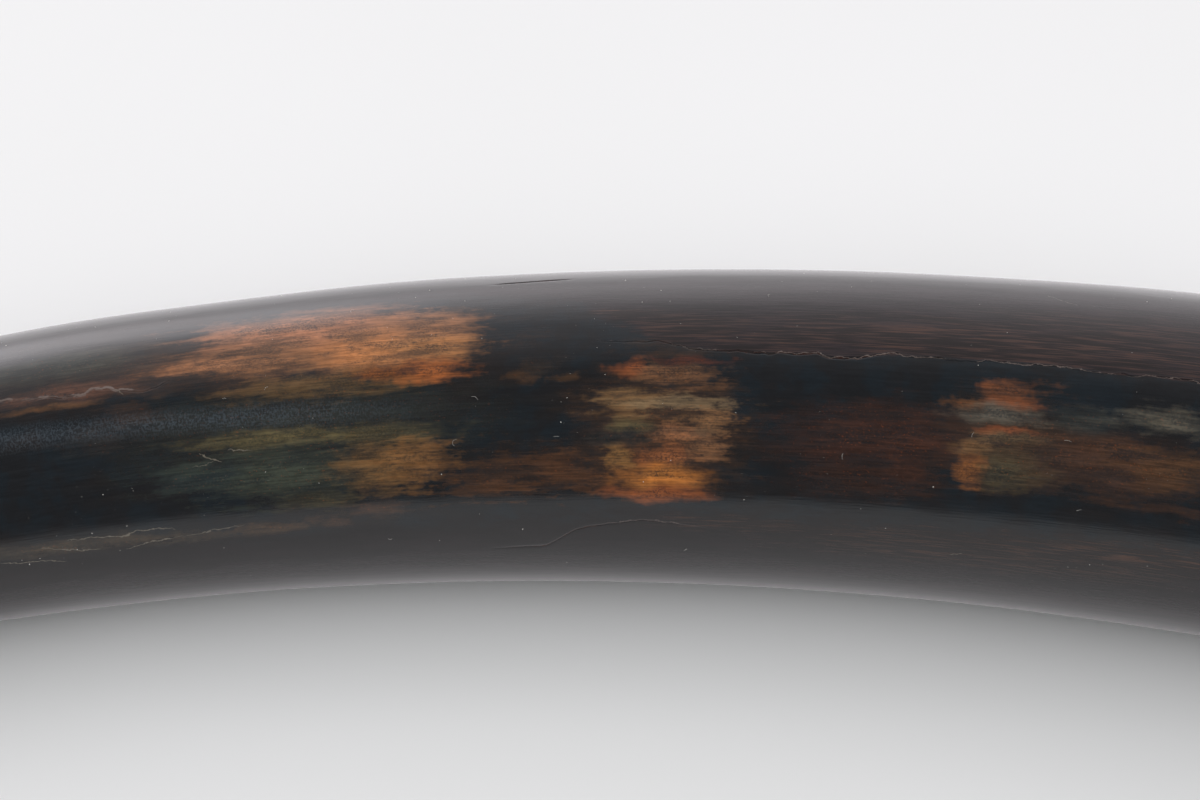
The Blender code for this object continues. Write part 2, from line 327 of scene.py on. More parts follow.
def skin_radius(along, angle):
    """Distance of the outside from the centre line, for arrays of places."""
    base = taper_radius(along)
    slimness = base / BUTT_RADIUS
    radius = base * (1.0 + OVAL * np.cos(2.0 * (angle - OVAL_ANGLE)))
    swelling = SWELLING * (1.0 - bump(along - EVEN_MIDDLE, EVEN_HALF_LENGTH))
    short, long = (2.0 * math.pi * along / length for length in SWELLING_LENGTHS)
    radius = radius + slimness * swelling * np.sin(short) * np.cos(long)
    for flute_angle, half_width, depth, middle, half_length in FLUTES:
        across = bump(angle_between(angle, math.radians(flute_angle)), math.radians(half_width))
        radius = radius - slimness * depth * across * bump(along - middle, half_length)
    worn = smooth((along - FACET_START) / (LENGTH - FACET_START))
    facing = np.cos(angle_between(angle, FACET_ANGLE))
    limit = base * (1.0 - FACET_DEPTH * worn) / np.maximum(facing, 0.05)
    return np.where((worn > 0.0) & (facing > 0.05), np.minimum(radius, limit), radius)


def centre_height(along):
    """Height at which the underside of the tusk just reaches the lift."""
    around = np.radians(np.arange(180.0, 361.0, 2.0))[:, None]
    lowest = (skin_radius(along[None, :], around) * np.sin(around)).min(axis=0)
    raised = np.clip((along - LIFT_START) / (LENGTH - LIFT_START), 0.0, 1.0)
    return TIP_LIFT * raised ** LIFT_POWER - lowest


def along_table(table, along, column=1):
    """A table's column read at these distances along the tusk."""
    places = [row[0] for row in table]
    return np.interp(along, places, [row[column] for row in table])


def rows_along(settings):
    """Distances from the butt at which the skin has a ring, closest where the surface is seen best."""
    rows = [0.0, 0.12 * RIM_EDGE, 0.45 * RIM_EDGE, RIM_EDGE, 2.2 * RIM_EDGE, 0.006]
    end = LENGTH - TIP_ROUND
    while rows[-1] < end:
        here = rows[-1]
        away = max(settings.fine_start - here, here - settings.fine_end, 0.0)
        rows.append(here + min(settings.fine_step + 0.12 * away, settings.coarse_step))
    rows[-1] = end
    rows += [end + TIP_ROUND * math.sin(0.5 * math.pi * index / 9) for index in range(1, 9)]
    return np.array(rows)


def crack_jag(along, seed, height):
    """Small sideways steps of a crack, in metres."""
    rng = np.random.default_rng(seed)
    steps = np.arange(0.0, LENGTH + 0.01, 0.0016)
    fine = rng.normal(0.0, 1.0, steps.size)
    walk = np.convolve(rng.normal(0.0, 1.0, steps.size), np.ones(5) / 5.0, mode="same")
    return np.interp(along, steps, height * (0.55 * fine + 1.2 * walk))


GUIDES = (
    # name, course, opening, offsets in mm, seed, jag in metres, depth and lip in metres
    (
        "slit", TOP_SLIT, SLIT_OPENING,
        (-1.6, -0.8, -0.4, -0.15, 0.0, 0.15, 0.4, 0.8, 1.6),
        5, 0.00006, 0.0006, 0.0,
    ),
    (
        "crack", MAIN_CRACK, MAIN_OPENING,
        (-3.2, -1.9, -1.2, -0.8, -0.55, -0.38, -0.24, -0.12, 0.0,
         0.12, 0.24, 0.38, 0.55, 0.8, 1.2, 1.9, 3.2),
        11, 0.00034, 0.0006, 0.00004,
    ),
    (
        "lower", LOWER_CRACK, LOWER_OPENING,
        (-1.8, -0.9, -0.4, -0.15, 0.0, 0.15, 0.4, 0.9, 1.8),
        23, 0.00008, 0.0004, 0.00003,
    ),
)
GUIDE_GAPS = (22, 34, 62)  # even columns after each guide, up to the next one


def near_radius(along):
    """Radius by which small distances round the tusk become angles."""
    return np.maximum(taper_radius(along), LEAST_RADIUS)


def crack_middle(along, course, seed, jag):
    """Angle of the middle of a crack, with its small sideways steps."""
    return np.radians(along_table(course, along)) + crack_jag(along, seed, jag) / near_radius(along)


def angles_round(along):
    """Angle of each column of vertices in each row, crowded along the cracks."""
    radius = near_radius(along)
    groups = []
    for _, course, _, offsets, seed, jag, _, _ in GUIDES:
        middle = crack_middle(along, course, seed, jag)
        groups.append([middle + offset * 0.001 / radius for offset in offsets])
    columns = []
    for index, group in enumerate(groups):
        columns += group
        after = groups[index + 1][0] if index + 1 < len(groups) else groups[0][0] + 2.0 * math.pi
        for step in range(GUIDE_GAPS[index]):
            share = (step + 1.0) / (GUIDE_GAPS[index] + 1.0)
            columns.append(group[-1] + share * (after - group[-1]))
    return np.array(columns).T


def relieve(along, angles, radii):
    """Cut the cracks and raise the bark. Returns the radii and each crack's place and opening."""
    facts = {}
    near = near_radius(along)[:, None]
    for name, course, opening, _, seed, jag, depth, lip in GUIDES:
        away = angle_between(angles, crack_middle(along, course, seed, jag)[:, None]) * near
        gap = 0.001 * along_table(opening, along)[:, None]
        pale = along_table(opening, along, 2)[:, None]
        wall = np.clip(1.0 - np.abs(away) / (gap + 0.00016), 0.0, 1.0)
        split = 1.0
        if name == "crack":
            split += SPLIT_GAIN * np.clip(1.0 - along / SPLIT_LENGTH, 0.0, 1.0)[:, None] ** SPLIT_POWER
        radii = radii - depth * split * np.minimum(gap / 0.0003, 1.0) * wall ** 0.6
        radii = radii + lip * pale * np.exp(-(((away + gap + 0.00022) / 0.0003) ** 2))
        facts["from_" + name] = away
        facts[name + "_gap"] = gap + 0.0 * away
        facts[name + "_pale"] = pale + 0.0 * away
    above = np.radians(along_table(BARK_EDGES, along))[:, None]
    below = np.radians(along_table(BARK_EDGES, along, 2))[:, None]
    seam = math.radians(SEAM_ANGLE)
    turn = angle_between(angles, seam) + seam
    into_bark = np.maximum(above - turn, turn - below) * near
    facts["into_bark"] = into_bark
    past = facts["from_crack"]
    edge = smooth(0.5 - past / 0.0006) * smooth(1.0 + past / 0.03)
    edge = edge * smooth((0.645 - along) / 0.03)[:, None]
    return radii + BARK_STEP * edge, facts


def build_straight_tusk(settings):
    """The tusk drawn out straight along X: its place across is Y and its height is Z."""
    along = rows_along(settings)
    angles = angles_round(along)
    radii = skin_radius(along[:, None], angles)
    radii -= RIM_EDGE * (1.0 - quarter_round(along / RIM_EDGE))[:, None]
    radii *= quarter_round((LENGTH - along) / TIP_ROUND)[:, None]
    radii, facts = relieve(along, angles, radii)
    count = angles.shape[1]

    face_shares = np.array([0.12, 0.25, 0.4, 0.55, 0.7, 0.85, 1.0])
    mouth = CAVITY_MOUTH_RADIUS + CAVITY_EDGE
    depths = np.concatenate([
        [0.25 * CAVITY_EDGE, CAVITY_EDGE, 0.004, 0.008], np.linspace(0.014, CAVITY_DEPTH - 0.004, 26),
    ])
    cavity = CAVITY_MOUTH_RADIUS * (1.0 - depths / CAVITY_DEPTH) ** CAVITY_POWER
    cavity += CAVITY_EDGE * (1.0 - quarter_round(depths / CAVITY_EDGE))
    even = angles[0]
    rings = []
    zones = []
    for row, depth in zip(cavity[::-1], depths[::-1]):
        rings.append((depth, even, np.full(count, row)))
        zones.append(2)
    for share in face_shares[::-1]:
        rings.append((0.0, even, radii[0] + (mouth - radii[0]) * share))
        zones.append(1)
    first_skin = len(rings)
    for index, place in enumerate(along):
        rings.append((place, angles[index], radii[index]))
        zones.append(0)

    vertices = []
    for place, turns, reach in rings:
        vertices += zip([place] * count, -reach * np.cos(turns), reach * np.sin(turns))
    deep = len(vertices)
    vertices += [(CAVITY_DEPTH, 0.0, 0.0), (LENGTH, 0.0, 0.0)]
    faces = []
    kinds = []
    for row in range(len(rings) - 1):
        here, after = row * count, (row + 1) * count
        for column in range(count):
            turn = (column + 1) % count
            faces.append((here + column, here + turn, after + turn, after + column))
            kinds.append(zones[row])
    last = (len(rings) - 1) * count
    for column in range(count):
        turn = (column + 1) % count
        faces.append((turn, column, deep))
        kinds.append(2)
        faces.append((last + column, last + turn, deep + 1))
        kinds.append(0)

    data = bpy.data.meshes.new("tusk_ivory")
    data.from_pydata(vertices, [], faces)
    mesh = bmesh.new()
    mesh.from_mesh(data)
    bmesh.ops.recalc_face_normals(mesh, faces=mesh.faces)
    mesh.to_mesh(data)
    mesh.free()

    places = np.array([vertex[0] for vertex in vertices])
    add_values(data, "rest_height", centre_height(places))
    is_skin = np.zeros(len(vertices))
    is_skin[first_skin * count:-2] = 1.0
    is_skin[-1] = 1.0
    fade = np.clip((places - RIM_EDGE) / 0.004, 0.0, 1.0)
    hollow = np.zeros(len(vertices))
    hollow[: len(cavity) * count] = np.repeat(np.clip((depths[::-1] - 0.003) / 0.01, 0.0, 1.0), count)
    add_values(data, "skin_share", is_skin * fade)
    add_values(data, "hollow_share", hollow)
    for name, values in facts.items():
        filled = np.zeros(len(vertices))
        filled[: first_skin * count] = np.tile(values[0], first_skin)
        filled[first_skin * count:-2] = values.reshape(-1)
        filled[-1] = values[-1].mean()
        add_values(data, name, filled)
    kind = data.attributes.new("zone", "INT", "FACE")
    kind.data.foreach_set("value", kinds)
    data.shade_smooth()
    return data


def add_values(data, name, values):
    attribute = data.attributes.new(name, "FLOAT", "POINT")
    attribute.data.foreach_set("value", np.asarray(values, dtype=np.float32))


def add_object(name, data):
    made = bpy.data.objects.new(name, data)
    bpy.context.scene.collection.objects.link(made)
    return made


def centre_line():
    """Points of the centre line in plan, starting in the middle of the frame's sawn face."""
    points = [(BUTT_FACE.x, BUTT_FACE.y, 0.0)]
    for index in range(int(round(LENGTH / PATH_STEP))):
        turn = heading((index + 0.5) * PATH_STEP)
        x, y, _ = points[-1]
        points.append((x + PATH_STEP * math.cos(turn), y + PATH_STEP * math.sin(turn), 0.0))
    return points


def curled(along, angles, radii):
    """Places on the curled tusk from distances along it, angles round it and distances from its middle."""
    line = np.array(centre_line())
    reach = np.arange(len(line)) * PATH_STEP
    side = radii * np.cos(angles)
    x = np.interp(along, reach, line[:, 0]) + side * np.sin(heading(along))
    y = np.interp(along, reach, line[:, 1]) - side * np.cos(heading(along))
    return list(zip(x, y, centre_height(along) + radii * np.sin(angles)))


def build_centre_line():
    points = centre_line()
    curve = bpy.data.curves.new("tusk_centre_line", "CURVE")
    curve.dimensions = "3D"
    spline = curve.splines.new("POLY")
    spline.points.add(len(points) - 1)
    for point, place in zip(spline.points, points):
        point.co = (*place, 1.0)
    return add_object("tusk_centre_line", curve)


# Nodes
FLOAT, VECTOR, GEOMETRY = "NodeSocketFloat", "NodeSocketVector", "NodeSocketGeometry"


class Nodes:
    """Adds nodes to a tree. A value or another node's socket can stand for any input."""

    def __init__(self, tree):
        self.tree = tree

    def add(self, kind, inputs=None, **settings):
        made = self.tree.nodes.new(kind)
        for name, value in settings.items():
            setattr(made, name, value)
        for name, value in (inputs or {}).items():
            self.set(made.inputs[name], value)
        return made

    def set(self, socket, value):
        if isinstance(value, bpy.types.NodeSocket):
            self.tree.links.new(value, socket)
        elif value is not None:
            socket.default_value = value

    def math(self, operation, *values, clamp=False):
        made = self.add("ShaderNodeMath", operation=operation, use_clamp=clamp)
        for socket, value in zip(made.inputs, values):
            self.set(socket, value)
        return made.outputs[0]

    def chain(self, operation, values, clamp=False):
        """All the values joined by one operation, from the first to the last."""
        made = values[0]
        for value in values[1:-1]:
            made = self.math(operation, made, value)
        return self.math(operation, made, values[-1], clamp=clamp)

    def times(self, *values, clamp=False):
        return self.chain("MULTIPLY", values, clamp)

    def plus(self, *values, clamp=False):
        return self.chain("ADD", values, clamp)

    def minus(self, first, second, clamp=False):
        return self.math("SUBTRACT", first, second, clamp=clamp)

    def vector(self, operation, *values, scale=None):
        made = self.add("ShaderNodeVectorMath", operation=operation)
        for socket, value in zip(made.inputs, values):
            self.set(socket, value)
        if scale is not None:
            self.set(made.inputs["Scale"], scale)
        return made.outputs["Value" if operation in ("LENGTH", "DISTANCE", "DOT_PRODUCT") else "Vector"]

    def noise(self, place, scale, detail=2.0, roughness=0.5, output="Fac"):
        inputs = {"Vector": place, "Scale": scale, "Detail": detail, "Roughness": roughness}
        return self.add("ShaderNodeTexNoise", inputs, normalize=True).outputs[output]

    def range(self, value, low, high, to_low=0.0, to_high=1.0, steps=True):
        made = self.add("ShaderNodeMapRange", interpolation_type="SMOOTHSTEP" if steps else "LINEAR")
        for socket, given in zip(made.inputs, (value, low, high, to_low, to_high)):
            self.set(socket, given)
        return made.outputs["Result"]

    def blend(self, share, first, second, kind="MIX"):
        made = self.add("ShaderNodeMix", data_type="RGBA", blend_type=kind)
        self.set(made.inputs[0], share)
        self.set(made.inputs[6], first)
        self.set(made.inputs[7], second)
        return made.outputs[2]

    def between(self, share, first, second):
        made = self.add("ShaderNodeMix", data_type="FLOAT")
        self.set(made.inputs[0], share)
        self.set(made.inputs[2], first)
        self.set(made.inputs[3], second)
        return made.outputs[0]

    def join(self, x, y, z):
        return self.add("ShaderNodeCombineXYZ", {"X": x, "Y": y, "Z": z}).outputs[0]

    def split(self, vector):
        return self.add("ShaderNodeSeparateXYZ", {0: vector}).outputs

    def read(self, name, output="Fac"):
        made = self.add("ShaderNodeAttribute")
        made.attribute_name = name
        return made.outputs[output]

    def named(self, name, kind="FLOAT"):
        """A named attribute in a geometry tree."""
        made = self.add("GeometryNodeInputNamedAttribute", {"Name": name}, data_type=kind)
        return made.outputs["Attribute"]

    def geometry_of(self, thing):
        """The geometry of an object that a tree is given."""
        made = self.add("GeometryNodeObjectInfo", {"Object": thing}, transform_space="ORIGINAL")
        return made.outputs["Geometry"]

    def place(self, group, **values):
        """Another copy of a node group with its own values, named by its inputs with underscores."""
        made = self.add("ShaderNodeGroup")
        made.node_tree = group
        for name, value in values.items():
            self.set(made.inputs[name.replace("_", " ")], value)
        return made


def new_group(name, inputs, outputs, kind="ShaderNodeTree"):
    """An empty node group with named sockets. Inputs are (name, type, default)."""
    tree = bpy.data.node_groups.new(name, kind)
    for title, socket, default in inputs:
        made = tree.interface.new_socket(title, in_out="INPUT", socket_type=socket)
        if default is not None:
            made.default_value = default
    for title, socket in outputs:
        tree.interface.new_socket(title, in_out="OUTPUT", socket_type=socket)
    nodes = Nodes(tree)
    return tree, nodes, nodes.add("NodeGroupInput").outputs, nodes.add("NodeGroupOutput").inputs


def new_geometry_tree(name, inputs):
    """An empty geometry tree: these inputs beside the geometry that goes in, and geometry out."""
    inputs = [("Geometry", GEOMETRY, None), *inputs]
    return new_group(name, inputs, [("Geometry", GEOMETRY)], "GeometryNodeTree")


def finish_tree(nodes, out, geometry, material):
    """Realize what a geometry tree made and give it its material."""
    realized = nodes.add("GeometryNodeRealizeInstances", {"Geometry": geometry}).outputs[0]
    painted = nodes.add("GeometryNodeSetMaterial", {"Geometry": realized, "Material": material})
    nodes.set(out["Geometry"], painted.outputs[0])


def grain_group():
    """Fine lines that run along the tusk."""
    tree, nodes, given, out = new_group(
        "lengthwise grain",
        [
            ("Straight", VECTOR, None), ("Stretch", FLOAT, 0.04), ("Scale", FLOAT, 900.0),
            ("Detail", FLOAT, 2.0), ("Contrast", FLOAT, 2.0),
        ],
        [("Grain", FLOAT)],
    )
    x, y, z = nodes.split(given["Straight"])
    place = nodes.join(nodes.times(x, given["Stretch"]), y, z)
    value = nodes.noise(place, given["Scale"], given["Detail"], 0.6)
    value = nodes.minus(value, 0.5)
    value = nodes.math("MULTIPLY_ADD", value, given["Contrast"], 0.5, clamp=True)
    nodes.set(out["Grain"], value)
    return tree


def stain_group():
    """An oval stain on the unrolled skin, its edge torn by a ragged value: a mask."""
    tree, nodes, given, out = new_group(
        "stain patch",
        [
            ("Place", VECTOR, None), ("Middle", VECTOR, (0.0, 0.0, 0.0)),
            ("Reach", VECTOR, (50.0, 200.0, 0.0)), ("Tear", FLOAT, 0.0), ("Tearing", FLOAT, 1.0),
            ("Softness", FLOAT, 0.5), ("Strength", FLOAT, 1.0),
        ],
        [("Mask", FLOAT)],
    )
    away = nodes.vector("SUBTRACT", given["Place"], given["Middle"])
    away = nodes.vector("LENGTH", nodes.vector("MULTIPLY", away, given["Reach"]))
    away = nodes.math("MULTIPLY_ADD", given["Tear"], given["Tearing"], away)
    inner = nodes.minus(STAIN_END, given["Softness"])
    nodes.set(out["Mask"], nodes.range(away, STAIN_END, inner, 0.0, given["Strength"]))
    return tree


def hairline_group():
    """A thin line between two places on the unrolled skin: a mask."""
    tree, nodes, given, out = new_group(
        "hairline",
        [
            ("Place", VECTOR, None), ("Start", VECTOR, (0.0, 0.0, 0.0)), ("End", VECTOR, (0.0, 0.0, 0.0)),
            ("Width", FLOAT, 0.0002),
        ],
        [("Mask", FLOAT)],
    )
    course = nodes.vector("SUBTRACT", given["End"], given["Start"])
    here = nodes.vector("SUBTRACT", given["Place"], given["Start"])
    reached = nodes.vector("DOT_PRODUCT", here, course)
    share = nodes.math("DIVIDE", reached, nodes.vector("DOT_PRODUCT", course, course))
    share = nodes.times(share, 1.0, clamp=True)
    nearest = nodes.vector("SCALE", course, scale=share)
    away = nodes.vector("DISTANCE", here, nearest)
    taper = nodes.times(share, nodes.minus(1.0, share), 4.0)
    taper = nodes.math("POWER", taper, 0.4)
    half = nodes.times(given["Width"], 0.5, taper)
    outer = nodes.math("MULTIPLY_ADD", half, 1.3, 0.00001)
    nodes.set(out["Mask"], nodes.range(away, outer, nodes.times(half, 0.5)))
    return tree


def on_skin(along, angle):
    """Place on the unrolled skin."""
    return (along, math.radians(angle) * ARC_RADIUS, 0.0)


def new_material(name):
    material = bpy.data.materials.new(name)
    material.use_nodes = True
    nodes = Nodes(material.node_tree)
    return material, nodes, material.node_tree.nodes["Principled BSDF"]


def finish_surface(nodes, shader, color, rough, height, depth):
    """Give a shader its colour, roughness and a bump of this depth in metres."""
    relief = nodes.add("ShaderNodeBump", {"Strength": 1.0, "Distance": depth, "Height": height})
    nodes.set(shader.inputs["Base Color"], color)
    nodes.set(shader.inputs["Roughness"], rough)
    nodes.set(shader.inputs["Normal"], relief.outputs[0])


def unroll(nodes, straight):
    """Place on the unrolled skin from the place on the straight tusk."""
    x, y, z = nodes.split(straight)
    cosine, sine = math.cos(math.radians(SEAM_ANGLE)), math.sin(math.radians(SEAM_ANGLE))
    up = nodes.plus(nodes.times(z, cosine), nodes.times(y, sine))
    out = nodes.plus(nodes.times(y, -cosine), nodes.times(z, sine))
    angle = nodes.plus(nodes.math("ARCTAN2", up, out), math.radians(SEAM_ANGLE))
    return nodes.join(x, nodes.times(angle, ARC_RADIUS), 0.0)


def skin_patterns(nodes, groups):
    """The places and noises that the layers of the skin share."""
    straight = nodes.read("straight", "Vector")
    x, y, z = nodes.split(straight)

    def stretched(share):
        """Places with less of the way along the tusk, which draws a noise out lengthwise."""
        return nodes.join(nodes.times(x, share), y, z)

    def grain(stretch, scale, detail, contrast):
        made = nodes.place(
            groups["grain"], Straight=straight, Stretch=stretch, Scale=scale, Detail=detail,
            Contrast=contrast,
        )
        return made.outputs[0]

    place = unroll(nodes, straight)
    sway = nodes.noise(straight, 120.0, 3.0, 0.62, output="Color")
    broad = nodes.split(sway)[2]
    sway = nodes.vector("MULTIPLY", nodes.vector("SUBTRACT", sway, (0.5, 0.5, 0.5)), STAIN_SWAY)
    fine = grain(0.035, 2400.0, 1.0, 2.4)
    long = grain(0.12, 430.0, 4.0, 2.6)
    mottle = nodes.noise(stretched(0.6), 760.0, 3.0, 0.68)
    cover = nodes.range(nodes.noise(stretched(0.20), 300.0, 4.0, 0.72), 0.36, 0.62)
    tear = nodes.minus(nodes.plus(nodes.times(long, 0.8), nodes.times(mottle, 1.5)), 0.85)
    drawn = stretched(0.26)
    in_photo = nodes.times(nodes.range(x, 0.455, 0.495), nodes.range(x, 0.83, 0.79))
    return SimpleNamespace(
        nodes=nodes, groups=groups, x=x, z=z, stretched=stretched, place=place,
        wavy=nodes.vector("ADD", place, sway), broad=broad, fine=fine, long=long, mottle=mottle,
        cover=cover, tear=nodes.minus(tear, nodes.times(cover, 0.6)),
        first_cloud=nodes.noise(drawn, 62.0, 3.0, 0.6),
        other_cloud=nodes.noise(nodes.vector("ADD", drawn, (0.0, 7.3, 0.0)), 66.0, 3.0, 0.6),
        outside=nodes.minus(1.0, in_photo),
    )


def patch(on, along, angle, half_length, half_width, tearing, softness, strength):
    """Mask of one ragged stain."""
    made = on.nodes.place(
        on.groups["stain"], Place=on.wavy, Middle=on_skin(along, angle),
        Reach=(1.0 / half_length, 1.0 / half_width, 0.0), Tear=on.tear, Tearing=tearing, Softness=softness,
        Strength=strength,
    )
    return made.outputs[0]


def band_layer(on, settings):
    """The polished band: nearly black with blue and brown."""
    nodes = on.nodes
    color = nodes.blend(nodes.range(on.broad, 0.42, 0.6), settings.band_color, settings.band_blue)
    return nodes.blend(nodes.range(on.other_cloud, 0.50, 0.64, 0.0, 0.45), color, settings.band_brown)


def stain_layer(on, settings, color):
    """Stains in their places where the surface is seen best, and clouds of stain elsewhere."""
    nodes = on.nodes
    covered = None
    for cloud, tone, low, high in (
        (nodes.minus(1.0, on.other_cloud), srgb(74, 44, 33), 0.50, 0.66),
        (nodes.minus(1.0, on.first_cloud), srgb(50, 60, 57), 0.53, 0.70),
        (on.other_cloud, srgb(96, 84, 58), 0.54, 0.72),
        (on.first_cloud, srgb(152, 96, 54), 0.53, 0.70),
    ):
        cloud = nodes.minus(cloud, nodes.times(on.tear, 0.09))
        cloud = nodes.times(nodes.range(cloud, low, high), on.outside)
        covered = cloud if covered is None else nodes.math("MAXIMUM", covered, cloud)
        color = nodes.blend(nodes.times(cloud, 0.9), color, tone)
    for along, angle, half_length, half_width, tone, strength, tearing in STAINS:
        mask = patch(
            on, along, angle, half_length / STAIN_EDGE, half_width / STAIN_EDGE, STAIN_TEARING * tearing,
            STAIN_SOFTNESS, strength,
        )
        covered = nodes.math("MAXIMUM", covered, mask)
        color = nodes.blend(mask, color, srgb(*tone, settings.stain_gain))

    # Within the stains: uneven hue and cover, mottling and fine dark and red dots
    hue = nodes.blend(on.cover, (0.97, 1.01, 1.04, 1.0), (1.03, 0.97, 0.90, 1.0))
    color = nodes.blend(covered, color, nodes.blend(1.0, color, hue, "MULTIPLY"))
    bare = nodes.minus(1.0, on.cover)
    color = nodes.blend(nodes.times(bare, 0.42, covered), color, settings.band_brown)
    shade = nodes.plus(nodes.times(on.mottle, 0.7), nodes.times(on.fine, 0.3))
    low, high = nodes.between(covered, 0.8, 0.6), nodes.between(covered, 1.12, 1.25)
    shade = nodes.range(shade, 0.28, 0.72, low, high)
    color = nodes.blend(1.0, color, nodes.join(shade, shade, shade), "MULTIPLY")
    specks = nodes.noise(on.stretched(0.7), 2300.0, 2.0, 0.65)
    dotted = nodes.times(nodes.range(on.cover, 0.95, 0.25), covered)
    dots = nodes.times(nodes.range(specks, 0.47, 0.56), dotted)
    color = nodes.blend(nodes.times(dots, 0.6), color, settings.band_blue)
    red = nodes.times(nodes.range(specks, 0.36, 0.31), covered)
    return nodes.blend(nodes.times(red, 0.4), color, srgb(140, 72, 36))


def painted_sheen_layer(on, color):
    """Painted reflection: a grey-blue sheen streak along the inner side, lighter in fine ticks. Also
    returns its mask.
    """
    nodes = on.nodes
    line = nodes.range(on.x, 0.69, 0.79, on_skin(0.0, 121.0)[1], on_skin(0.0, 115.0)[1], steps=False)
    away = nodes.math("ABSOLUTE", nodes.minus(nodes.split(on.place)[1], line))
    mask = nodes.times(
        nodes.range(away, 0.0052, 0.0), nodes.range(on.x, 0.672, 0.730), nodes.range(on.x, 0.90, 0.82))
    ticks = nodes.range(nodes.noise(on.stretched(1.7), 1500.0, 2.0, 0.65), 0.46, 0.58)
    # Painted sheen: the grey-blue ticks lighten the colour where a dim light's reflection would show
    share = nodes.times(mask, nodes.math("MULTIPLY_ADD", ticks, 0.36, 0.07))
    return nodes.blend(share, color, srgb(74, 84, 92)), mask


def bark_layer(on, settings, color):
    """The bark above and below the band, crisp only along the main crack. Also returns its mask."""
    nodes = on.nodes
    away = nodes.math("ABSOLUTE", nodes.read("from_crack"))
    crisp = nodes.times(nodes.range(away, 0.006, 0.003), nodes.range(on.x, 0.645, 0.628))
    width = nodes.between(crisp, 0.0028, 0.0004)
    into = nodes.minus(nodes.read("into_bark"), nodes.times(on.tear, width, 1.5))
    bark = nodes.range(nodes.math("DIVIDE", into, width), -1.0, 1.0)
    lines = nodes.range(nodes.plus(nodes.times(on.fine, 0.55), nodes.times(on.long, 0.45)), 0.28, 0.72)
    tone = nodes.blend(lines, settings.bark_dark, settings.bark_color)
    # Painted shade: bark from just below the centre line's height to about 3 cm above it is darkened
    # towards the dark bark tone
    painted_shade_band = nodes.times(nodes.range(on.z, -0.012, 0.014, 0.0, 0.8), nodes.range(on.z, 0.032, 0.022))
    tone = nodes.blend(painted_shade_band, tone, settings.bark_dark)
    threaded = nodes.times(nodes.range(on.fine, 0.40, 0.95), nodes.range(on.long, 0.1, 0.8, 0.35, 1.0))
    rusty = nodes.times(nodes.range(on.first_cloud, 0.45, 0.62), on.outside)
    for along, angle, half_length, half_width, strength in RUSTY_GRAIN:
        mask = patch(on, along, angle, half_length, half_width, 0.4, 0.9, strength)
        rusty = nodes.math("MAXIMUM", rusty, mask)
    share = nodes.times(rusty, nodes.math("MULTIPLY_ADD", threaded, 0.72, 0.06))
    return nodes.blend(bark, color, nodes.blend(share, tone, settings.bark_rust)), bark


def crack_layer(on, settings, color):
    """Cracks and hairlines: dark gaps between pale lips. Also returns the hairlines' mask."""
    nodes = on.nodes
    fray = nodes.times(nodes.minus(on.mottle, 0.5), 0.0018)
    broken = nodes.range(nodes.plus(on.mottle, on.long), 0.75, 1.05, 0.12, 1.0)
    worn = nodes.range(on.cover, 0.15, 0.6, nodes.range(on.x, 0.70, 0.74, 0.8, 0.25), 1.0)
    for name, thin in CRACK_LIPS:
        width = thin
        if name == "crack":
            width = nodes.between(nodes.range(on.x, 0.742, 0.756), thin, FILLED_LIP)
        frayed = nodes.plus(nodes.read("from_" + name), fray)
        gap = nodes.read(name + "_gap")
        upper = nodes.math("MULTIPLY_ADD", width, 0.5, nodes.plus(frayed, gap))
        upper = nodes.range(nodes.math("DIVIDE", nodes.math("ABSOLUTE", upper), width), 0.8, 0.3)
        other = nodes.math("ABSOLUTE", nodes.minus(frayed, nodes.plus(gap, 0.00008)))
        other = nodes.times(nodes.range(other, 0.0002, 0.00008), nodes.range(gap, 0.00015, 0.0003))
        lips = nodes.times(nodes.math("MAXIMUM", upper, other), nodes.read(name + "_pale"), broken, worn)
        color = nodes.blend(lips, color, settings.lip_color)
        inside = nodes.range(nodes.math("ABSOLUTE", frayed), nodes.times(gap, 1.15), nodes.times(gap, 0.6))
        inside = nodes.times(inside, nodes.range(gap, 0.00003, 0.0001))
        color = nodes.blend(inside, color, settings.gap_color)
    waver = nodes.times(nodes.minus(on.broad, 0.5), 0.0042)
    frayed = nodes.vector("ADD", on.place, nodes.join(0.0, nodes.plus(fray, waver), 0.0))
    threads = 0.0
    for along, angle, end_along, end_angle, width, strength in HAIRLINES:
        thread = nodes.place(
            on.groups["hairline"], Place=frayed, Start=on_skin(along, angle),
            End=on_skin(end_along, end_angle), Width=0.001 * width,
        )
        threads = nodes.math("MAXIMUM", threads, nodes.times(thread.outputs[0], strength))
    return nodes.blend(threads, color, settings.thread_color), threads


def skin_material(settings, groups):
    """The outside: polished band, stains, a painted sheen streak, bark with a band of painted shade, cracks
    and hairlines.
    """
    material, nodes, shader = new_material("stained_ivory_skin")
    on = skin_patterns(nodes, groups)
    color = stain_layer(on, settings, band_layer(on, settings))
    # Painted sheen streak along the inner side; its mask also makes the surface a little rougher below
    color, painted_sheen = painted_sheen_layer(on, color)
    color, bark = bark_layer(on, settings, color)
    color, threads = crack_layer(on, settings, color)
    rough = nodes.plus(
        nodes.between(bark, settings.band_roughness, settings.bark_roughness), nodes.times(painted_sheen, 0.10),
        nodes.range(on.fine, 0.0, 1.0, -0.03, 0.05, steps=False), nodes.times(threads, 0.15), clamp=True)
    height = nodes.plus(nodes.times(on.fine, 0.3), nodes.times(on.mottle, 0.2))
    shader.inputs["Sheen Weight"].default_value = settings.haze
    shader.inputs["Sheen Roughness"].default_value = HAZE_SPREAD
    shader.inputs["Sheen Tint"].default_value = settings.haze_color
    finish_surface(nodes, shader, color, rough, height, settings.bump_height)
    return material


